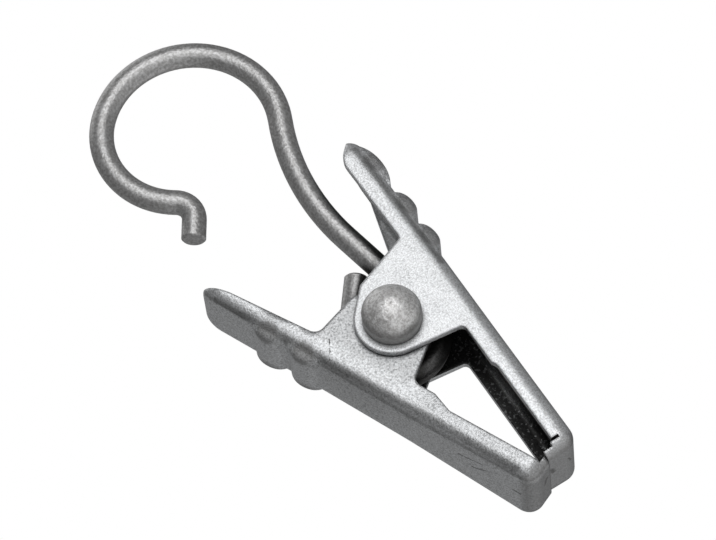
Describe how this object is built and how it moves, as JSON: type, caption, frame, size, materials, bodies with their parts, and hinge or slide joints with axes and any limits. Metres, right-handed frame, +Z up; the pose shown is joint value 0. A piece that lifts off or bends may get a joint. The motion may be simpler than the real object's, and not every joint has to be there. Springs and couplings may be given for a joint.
{
  "type": "curtain clip hook",
  "caption": "Sprung clip of pressed steel levers on a rivet, with a swivelling bent-wire hook that hangs on a curtain rail or ring while the jaws grip the cloth.",
  "frame": {"origin": "centre of the hook's loop, in the middle of the wire", "axes": "+Z up when the clip hangs, +Y along the rivet away from its domed head, +X towards the outer lever"},
  "size_m": [0.0192, 0.0118, 0.0534],
  "materials": {
    "plated_sheet": "matte zinc-plated pressed steel",
    "rivet_steel": "tumbled plated steel",
    "spring_wire": "drawn spring steel",
    "plated_wire": "matte zinc-plated wire"
  },
  "bodies": {
    "hook": {"wire_hook": "plated_wire"},
    "clip": {"outer_jaw": "plated_sheet", "pivot_rivet": "rivet_steel", "torsion_spring": "spring_wire"},
    "inner_lever": {"inner_jaw": "plated_sheet"}
  },
  "joints": [
    {"name": "hook_swing", "type": "hinge", "parent": "hook", "child": "clip", "pos_m": [-0.0014, 0, -0.02612], "axis": [0, 1, 0], "range_deg": [-10, 18]},
    {"name": "jaw_open", "type": "hinge", "parent": "clip", "child": "inner_lever", "pos_m": [-0.0014, 0, -0.02612], "axis": [0, 1, 0], "range_deg": [0, 25], "stiffness_Nm_per_rad": 0.03, "springref_deg": -57.3, "deforming": ["torsion_spring"]}
  ]
}
